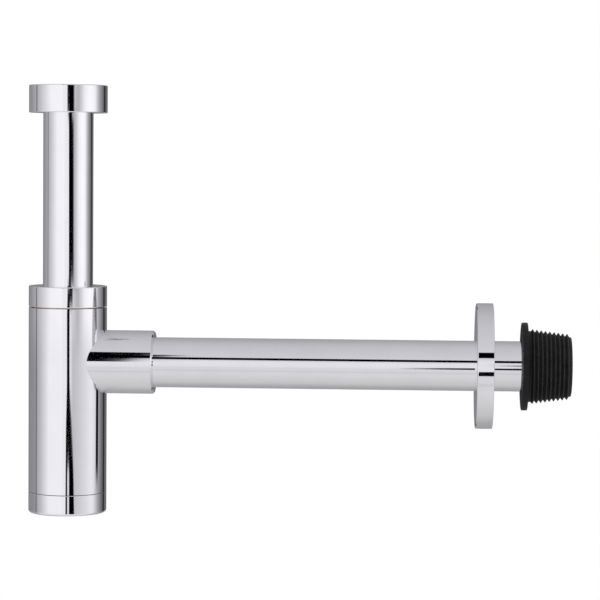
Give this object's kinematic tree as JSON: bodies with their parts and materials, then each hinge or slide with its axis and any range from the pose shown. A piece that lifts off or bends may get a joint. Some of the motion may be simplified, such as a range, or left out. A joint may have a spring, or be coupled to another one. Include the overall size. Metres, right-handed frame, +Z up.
{
  "type": "adjustable basin trap",
  "caption": "Chromed bottle trap for a basin, with a sliding inlet tube, a screw-off bottom cap, an outlet tube with a wall flange and a finned rubber wall adaptor.",
  "frame": {"origin": "on the inlet's axis at the inner end of the inlet nut's thread, just above the flat gasket", "axes": "+Z up along the inlet's axis, the way the basin waste leaves the nut; +X along the outlet, to the wall; +Y to the back"},
  "size_m": [0.3469, 0.08, 0.2737],
  "materials": {
    "chrome": "polished",
    "brass": "satin",
    "white_plastic": "satin",
    "rubber": "matte",
    "adaptor_rubber": "matte"
  },
  "bodies": {
    "inlet_nut": {"inlet_nut": "chrome"},
    "slip_ring": {"inlet_slip_ring": "white_plastic"},
    "inlet": {"inlet_tube": "chrome", "inlet_gasket": "rubber"},
    "seal": {"inlet_seal": "rubber"},
    "trap": {"body_shell": "chrome", "neck_ring": "brass", "base_ring": "brass", "outlet_branch": "chrome", "dip_tube": "white_plastic", "dip_tube_gasket": "rubber"},
    "slip_washer": {"body_slip_washer": "white_plastic"},
    "body_nut": {"body_nut": "chrome"},
    "cap_seal": {"cap_seal": "rubber"},
    "cap": {"bottom_cap": "chrome"},
    "o_rings": {"branch_o_ring_inner": "rubber", "branch_o_ring_outer": "rubber"},
    "outlet": {"outlet_tube": "chrome"},
    "grip_ring": {"flange_grip_ring": "rubber"},
    "flange": {"wall_flange": "chrome"},
    "adaptor": {"wall_adaptor": "adaptor_rubber"}
  },
  "joints": [
    {"name": "nut_slide", "type": "slide", "parent": "inlet_nut", "child": "slip_ring", "axis": [0, 0, 1], "range_m": [0, 0.045]},
    {"name": "nut_turn", "type": "hinge", "parent": "slip_ring", "child": "inlet", "pos_m": [0, 0, 0], "axis": [0, 0, 1], "continuous": true},
    {"name": "height_slide", "type": "slide", "parent": "inlet", "child": "seal", "axis": [0, 0, 1], "range_m": [-0.03, 0.05]},
    {"name": "trap_swivel", "type": "hinge", "parent": "seal", "child": "trap", "pos_m": [0, 0, 0], "axis": [0, 0, 1], "continuous": true},
    {"name": "body_nut_lift", "type": "slide", "parent": "trap", "child": "slip_washer", "axis": [0, 0, 1], "range_m": [0, 0.0075]},
    {"name": "body_nut_turn", "type": "hinge", "parent": "slip_washer", "child": "body_nut", "pos_m": [0, 0, 0], "axis": [0, 0, 1], "range_deg": [0, 1805]},
    {"name": "cap_drop", "type": "slide", "parent": "trap", "child": "cap_seal", "axis": [0, 0, -1], "range_m": [0, 0.0075]},
    {"name": "cap_turn", "type": "hinge", "parent": "cap_seal", "child": "cap", "pos_m": [0, 0, 0], "axis": [0, 0, -1], "range_deg": [0, 1805]},
    {"name": "outlet_turn", "type": "hinge", "parent": "trap", "child": "o_rings", "pos_m": [0.056, 0, -0.1666], "axis": [1, 0, 0], "continuous": true},
    {"name": "outlet_slide", "type": "slide", "parent": "o_rings", "child": "outlet", "axis": [1, 0, 0], "range_m": [-0.005, 0.012]},
    {"name": "flange_slide", "type": "slide", "parent": "outlet", "child": "grip_ring", "axis": [1, 0, 0], "range_m": [-0.199, 0.022]},
    {"name": "flange_turn", "type": "hinge", "parent": "grip_ring", "child": "flange", "pos_m": [0.2613, 0, -0.1666], "axis": [1, 0, 0], "continuous": true},
    {"name": "adaptor_slide", "type": "slide", "parent": "outlet", "child": "adaptor", "axis": [1, 0, 0], "range_m": [0, 0.025]}
  ],
  "couplings": [
    {"joint": "body_nut_turn", "follows": "body_nut_lift", "rad_per_m": 4188.8},
    {"joint": "cap_turn", "follows": "cap_drop", "rad_per_m": 4188.8}
  ]
}
